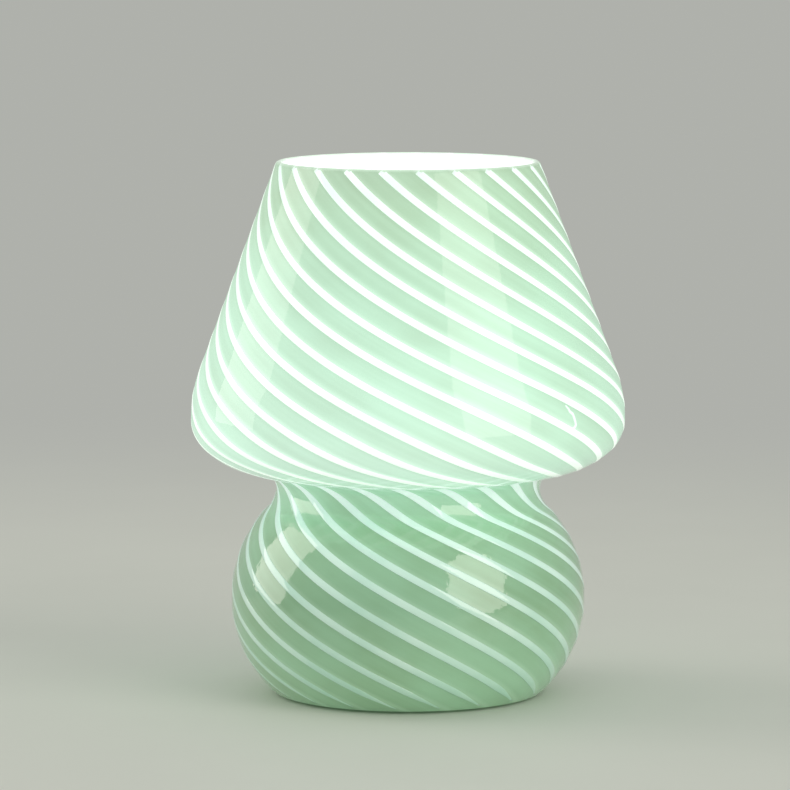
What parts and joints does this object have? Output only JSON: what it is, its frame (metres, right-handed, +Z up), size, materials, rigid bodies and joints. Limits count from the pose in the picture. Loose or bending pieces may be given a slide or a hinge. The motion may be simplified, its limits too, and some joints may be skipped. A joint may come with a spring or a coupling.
{
  "type": "mushroom table lamp",
  "caption": "Small mushroom-shaped table lamp of blown mint-green glass with swirled white stripes, lit by a screw-in bulb on a plate in its neck.",
  "frame": {"origin": "centre of the foot, on the table, at the bottom of the lamp", "axes": "+Z up along the lamp's axis, -Y towards the viewer, +Y towards the side with the cord inlet, +X to the viewer's right"},
  "size_m": [0.1499, 0.1498, 0.1836],
  "materials": {
    "mint_glass": "gloss",
    "white_glass": "gloss",
    "clear_rubber": "satin",
    "grommet_rubber": "matte",
    "white_enamel": "gloss",
    "gasket_rubber": "matte",
    "spring_steel": "satin",
    "rivet_aluminium": "satin",
    "white_plastic": "satin",
    "holder_insulation": "matte",
    "nickel": "satin",
    "contact_brass": "satin",
    "screw_steel": "satin",
    "bulb_diffuser": "satin",
    "bulb_plastic": "gloss",
    "black_insulator": "gloss",
    "solder": "satin",
    "board_aluminium": "matte",
    "light_chips": "matte",
    "circuit_board": "satin",
    "can_aluminium": "satin"
  },
  "bodies": {
    "lamp": {"glass_body": "mint_glass", "white_canes": "white_glass", "foot_pads": "clear_rubber", "cord_grommet": "grommet_rubber", "neck_plate": "white_enamel", "plate_gasket": "gasket_rubber", "spring_clips": "spring_steel", "clip_rivets": "rivet_aluminium", "upper_ring_nut": "white_plastic", "lower_ring_nut": "white_plastic", "holder_sleeve": "white_plastic", "holder_cover": "white_plastic", "holder_core": "holder_insulation", "screw_shell": "nickel", "centre_contact": "contact_brass", "terminal_blocks": "contact_brass", "terminal_screws": "screw_steel"},
    "bulb_rise": {"bulb_globe": "bulb_diffuser"},
    "bulb": {"bulb_housing": "bulb_plastic", "bulb_screw_cap": "nickel", "bulb_insulator": "black_insulator", "bulb_eyelet": "solder", "led_board": "board_aluminium", "led_chips": "light_chips", "driver_board": "circuit_board", "driver_capacitor": "can_aluminium"}
  },
  "joints": [
    {"name": "bulb_lift", "type": "slide", "parent": "lamp", "child": "bulb_rise", "axis": [0, 0, 1], "range_m": [0, 0.0127]},
    {"name": "bulb_turn", "type": "hinge", "parent": "bulb_rise", "child": "bulb", "pos_m": [0, 0, 0.0785], "axis": [0, 0, 1], "range_deg": [0, 1620]}
  ],
  "couplings": [
    {"joint": "bulb_lift", "follows": "bulb_turn", "m_per_rad": 0.00044882}
  ]
}
